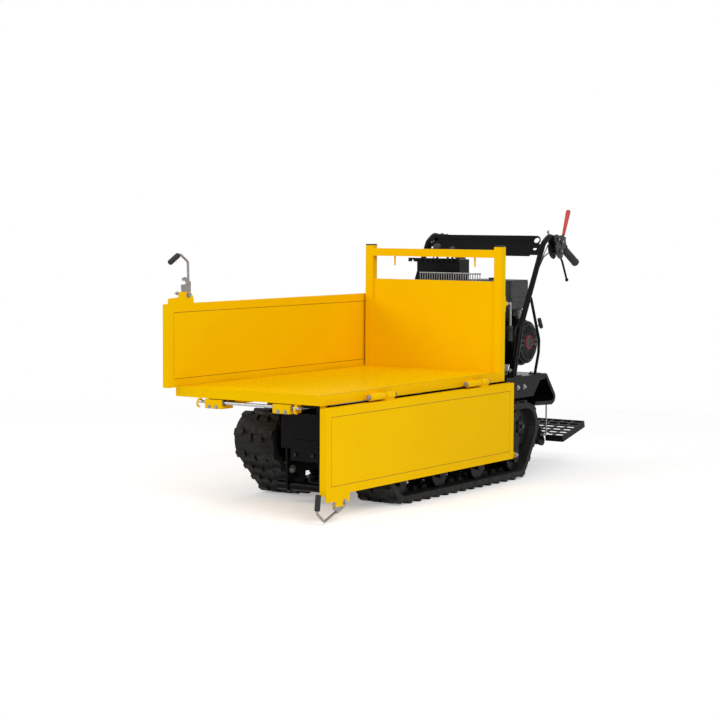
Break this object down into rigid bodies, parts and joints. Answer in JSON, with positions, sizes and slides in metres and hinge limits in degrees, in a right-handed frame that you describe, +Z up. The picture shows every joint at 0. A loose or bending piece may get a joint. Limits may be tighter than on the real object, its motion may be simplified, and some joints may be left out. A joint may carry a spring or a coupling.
{
  "type": "tracked power carrier",
  "caption": "Walk-behind carrier on two rubber tracks with a tipping bed, drop-side panels, cranked latches, a petrol engine, control handlebar and folding step.",
  "frame": {"origin": "on the ground, in the middle of the overall width and length", "axes": "+X to the operator's left, +Y from the bed's front edge to the handlebar, +Z up"},
  "size_m": [0.726, 2.1275, 1.0963],
  "materials": {
    "yellow_paint": "gloss powder coat",
    "black_coat": "satin powder coat",
    "rubber": "matt",
    "zinc_steel": "zinc plated",
    "cast_alloy": "as cast",
    "black_plastic": "satin",
    "red_plastic": "satin",
    "heat_paint": "matt heat paint",
    "cast_wheel": "satin"
  },
  "bodies": {
    "chassis": {"chassis_frame": "black_coat", "chassis_legs": "black_coat", "front_cover": "black_coat", "track_frame_left": "black_coat", "track_frame_right": "black_coat", "rubber_track_left": "rubber", "rubber_track_right": "rubber", "gearbox": "cast_alloy", "drive_belt": "rubber", "engine_deck": "black_coat", "rear_guard": "black_coat", "engine_block": "cast_alloy", "fan_housing": "black_coat", "recoil_cover": "black_plastic", "fuel_tank": "black_plastic", "air_cleaner": "black_plastic", "muffler": "heat_paint", "muffler_guard": "zinc_steel", "shift_tower": "black_coat", "handlebar_tubes": "black_coat", "handlebar_braces": "black_coat", "console_plate": "black_coat", "hand_grips": "rubber", "lever_clamps": "black_coat", "control_cables": "rubber", "fasteners": "zinc_steel"},
    "bed": {"bed_pan": "yellow_paint", "bed_subframe": "yellow_paint", "headboard": "yellow_paint", "post_caps": "black_plastic"},
    "drive_sprocket_left": {"drive_sprocket_left": "cast_wheel"},
    "drive_sprocket_right": {"drive_sprocket_right": "cast_wheel"},
    "idler_wheel_left": {"idler_wheel_left": "cast_wheel"},
    "idler_wheel_right": {"idler_wheel_right": "cast_wheel"},
    "road_roller_left_1": {"road_roller_left_1": "cast_wheel"},
    "road_roller_left_2": {"road_roller_left_2": "cast_wheel"},
    "road_roller_left_3": {"road_roller_left_3": "cast_wheel"},
    "road_roller_left_4": {"road_roller_left_4": "cast_wheel"},
    "road_roller_right_1": {"road_roller_right_1": "cast_wheel"},
    "road_roller_right_2": {"road_roller_right_2": "cast_wheel"},
    "road_roller_right_3": {"road_roller_right_3": "cast_wheel"},
    "road_roller_right_4": {"road_roller_right_4": "cast_wheel"},
    "gearbox_pulley": {"gearbox_pulley": "zinc_steel"},
    "engine_pulley": {"engine_pulley": "zinc_steel"},
    "starter_grip": {"starter_grip": "black_plastic"},
    "gear_lever": {"gear_lever": "black_plastic"},
    "range_lever": {"range_lever": "black_plastic"},
    "clutch_lever": {"clutch_lever": "red_plastic"},
    "steering_lever_left": {"steering_lever_left": "black_coat"},
    "steering_lever_right": {"steering_lever_right": "black_coat"},
    "throttle_lever": {"throttle_lever": "zinc_steel"},
    "step_platform": {"step_platform": "black_coat"},
    "platform_hook": {"platform_hook": "zinc_steel"},
    "side_panel_left": {"side_panel_left": "yellow_paint"},
    "side_panel_right": {"side_panel_right": "yellow_paint"},
    "gate_latch_left": {"gate_latch_left": "zinc_steel"},
    "gate_latch_right": {"gate_latch_right": "zinc_steel"},
    "post_latch_left": {"post_latch_left": "zinc_steel"},
    "post_latch_right": {"post_latch_right": "zinc_steel"},
    "front_latch_rod": {"front_latch_rod": "zinc_steel"}
  },
  "joints": [
    {"name": "bed_tip", "type": "hinge", "parent": "chassis", "child": "bed", "pos_m": [0, -0.63865, 0.367], "axis": [1, 0, 0], "range_deg": [0, 50]},
    {"name": "side_panel_left_drop", "type": "hinge", "parent": "bed", "child": "side_panel_left", "pos_m": [0.3465, -0.99065, 0.422], "axis": [0, -1, 0], "range_deg": [0, 180]},
    {"name": "side_panel_right_drop", "type": "hinge", "parent": "bed", "child": "side_panel_right", "pos_m": [-0.3465, -0.99065, 0.422], "axis": [0, -1, 0], "range_deg": [0, 180]},
    {"name": "gate_latch_left_turn", "type": "hinge", "parent": "side_panel_left", "child": "gate_latch_left", "pos_m": [0.34685, -0.90265, 0.069], "axis": [-1, 0, 0], "range_deg": [-68, 4]},
    {"name": "gate_latch_right_turn", "type": "hinge", "parent": "side_panel_right", "child": "gate_latch_right", "pos_m": [-0.34615, -0.90265, 0.775], "axis": [1, 0, 0], "range_deg": [0, 72]},
    {"name": "post_latch_left_turn", "type": "hinge", "parent": "bed", "child": "post_latch_left", "pos_m": [0.305, 0.29735, 0.718], "axis": [0, 1, 0], "range_deg": [0, 90]},
    {"name": "post_latch_right_turn", "type": "hinge", "parent": "bed", "child": "post_latch_right", "pos_m": [-0.305, 0.29735, 0.718], "axis": [0, -1, 0], "range_deg": [0, 90]},
    {"name": "front_latch_turn", "type": "hinge", "parent": "bed", "child": "front_latch_rod", "pos_m": [0, -0.97865, 0.396], "axis": [1, 0, 0], "range_deg": [0, 60]},
    {"name": "drive_sprocket_left_spin", "type": "hinge", "parent": "chassis", "child": "drive_sprocket_left", "pos_m": [0.23, 0.49035, 0.209], "axis": [1, 0, 0], "continuous": true},
    {"name": "idler_wheel_left_spin", "type": "hinge", "parent": "chassis", "child": "idler_wheel_left", "pos_m": [0.23, -0.54165, 0.221], "axis": [1, 0, 0], "continuous": true},
    {"name": "road_roller_left_1_spin", "type": "hinge", "parent": "chassis", "child": "road_roller_left_1", "pos_m": [0.23, -0.43665, 0.087], "axis": [1, 0, 0], "continuous": true},
    {"name": "road_roller_left_2_spin", "type": "hinge", "parent": "chassis", "child": "road_roller_left_2", "pos_m": [0.23, -0.14599, 0.087], "axis": [1, 0, 0], "continuous": true},
    {"name": "road_roller_left_3_spin", "type": "hinge", "parent": "chassis", "child": "road_roller_left_3", "pos_m": [0.23, 0.14468, 0.087], "axis": [1, 0, 0], "continuous": true},
    {"name": "road_roller_left_4_spin", "type": "hinge", "parent": "chassis", "child": "road_roller_left_4", "pos_m": [0.23, 0.43535, 0.087], "axis": [1, 0, 0], "continuous": true},
    {"name": "drive_sprocket_right_spin", "type": "hinge", "parent": "chassis", "child": "drive_sprocket_right", "pos_m": [-0.23, 0.49035, 0.209], "axis": [1, 0, 0], "continuous": true},
    {"name": "idler_wheel_right_spin", "type": "hinge", "parent": "chassis", "child": "idler_wheel_right", "pos_m": [-0.23, -0.54165, 0.221], "axis": [1, 0, 0], "continuous": true},
    {"name": "road_roller_right_1_spin", "type": "hinge", "parent": "chassis", "child": "road_roller_right_1", "pos_m": [-0.23, -0.43665, 0.087], "axis": [1, 0, 0], "continuous": true},
    {"name": "road_roller_right_2_spin", "type": "hinge", "parent": "chassis", "child": "road_roller_right_2", "pos_m": [-0.23, -0.14599, 0.087], "axis": [1, 0, 0], "continuous": true},
    {"name": "road_roller_right_3_spin", "type": "hinge", "parent": "chassis", "child": "road_roller_right_3", "pos_m": [-0.23, 0.14468, 0.087], "axis": [1, 0, 0], "continuous": true},
    {"name": "road_roller_right_4_spin", "type": "hinge", "parent": "chassis", "child": "road_roller_right_4", "pos_m": [-0.23, 0.43535, 0.087], "axis": [1, 0, 0], "continuous": true},
    {"name": "gearbox_pulley_spin", "type": "hinge", "parent": "chassis", "child": "gearbox_pulley", "pos_m": [-0.064, 0.51035, 0.352], "axis": [1, 0, 0], "continuous": true},
    {"name": "engine_pulley_spin", "type": "hinge", "parent": "chassis", "child": "engine_pulley", "pos_m": [-0.064, 0.61135, 0.547], "axis": [1, 0, 0], "continuous": true},
    {"name": "starter_grip_pull", "type": "slide", "parent": "chassis", "child": "starter_grip", "axis": [0, 0.8829, 0.4695], "range_m": [0, 0.3], "stiffness_N_per_m": 20},
    {"name": "gear_lever_shift", "type": "hinge", "parent": "chassis", "child": "gear_lever", "pos_m": [-0.18, 0.60135, 0.825], "axis": [1, 0, 0], "range_deg": [-10, 10]},
    {"name": "range_lever_shift", "type": "hinge", "parent": "chassis", "child": "range_lever", "pos_m": [-0.105, 0.60135, 0.825], "axis": [1, 0, 0], "range_deg": [-10, 10]},
    {"name": "clutch_lever_press", "type": "hinge", "parent": "chassis", "child": "clutch_lever", "pos_m": [0.28, 0.86335, 0.974], "axis": [1, 0, 0], "range_deg": [-70, 0], "stiffness_Nm_per_rad": 2, "springref_deg": 20.05},
    {"name": "steering_lever_left_squeeze", "type": "hinge", "parent": "chassis", "child": "steering_lever_left", "pos_m": [0.28, 0.80996, 0.92273], "axis": [1, 0, 0], "range_deg": [0, 18], "stiffness_Nm_per_rad": 2, "springref_deg": -11.46},
    {"name": "steering_lever_right_squeeze", "type": "hinge", "parent": "chassis", "child": "steering_lever_right", "pos_m": [-0.28, 0.80996, 0.92273], "axis": [1, 0, 0], "range_deg": [0, 18], "stiffness_Nm_per_rad": 2, "springref_deg": -11.46},
    {"name": "throttle_lever_turn", "type": "hinge", "parent": "chassis", "child": "throttle_lever", "pos_m": [0.261, 0.7857, 0.97088], "axis": [1, 0, 0], "range_deg": [-30, 30]},
    {"name": "step_platform_fold", "type": "hinge", "parent": "chassis", "child": "step_platform", "pos_m": [0, 0.84035, 0.111], "axis": [1, 0, 0], "range_deg": [0, 70]},
    {"name": "platform_hook_swing", "type": "hinge", "parent": "chassis", "child": "platform_hook", "pos_m": [0.24, 0.80435, 0.314], "axis": [0, 1, 0], "range_deg": [-25, 1]}
  ],
  "couplings": [
    {"joint": "idler_wheel_left_spin", "follows": "drive_sprocket_left_spin", "ratio": 1},
    {"joint": "road_roller_left_1_spin", "follows": "drive_sprocket_left_spin", "ratio": 1.4},
    {"joint": "road_roller_left_2_spin", "follows": "drive_sprocket_left_spin", "ratio": 1.4},
    {"joint": "road_roller_left_3_spin", "follows": "drive_sprocket_left_spin", "ratio": 1.4},
    {"joint": "road_roller_left_4_spin", "follows": "drive_sprocket_left_spin", "ratio": 1.4},
    {"joint": "idler_wheel_right_spin", "follows": "drive_sprocket_right_spin", "ratio": 1},
    {"joint": "road_roller_right_1_spin", "follows": "drive_sprocket_right_spin", "ratio": 1.4},
    {"joint": "road_roller_right_2_spin", "follows": "drive_sprocket_right_spin", "ratio": 1.4},
    {"joint": "road_roller_right_3_spin", "follows": "drive_sprocket_right_spin", "ratio": 1.4},
    {"joint": "road_roller_right_4_spin", "follows": "drive_sprocket_right_spin", "ratio": 1.4},
    {"joint": "engine_pulley_spin", "follows": "gearbox_pulley_spin", "ratio": 1.3846}
  ]
}
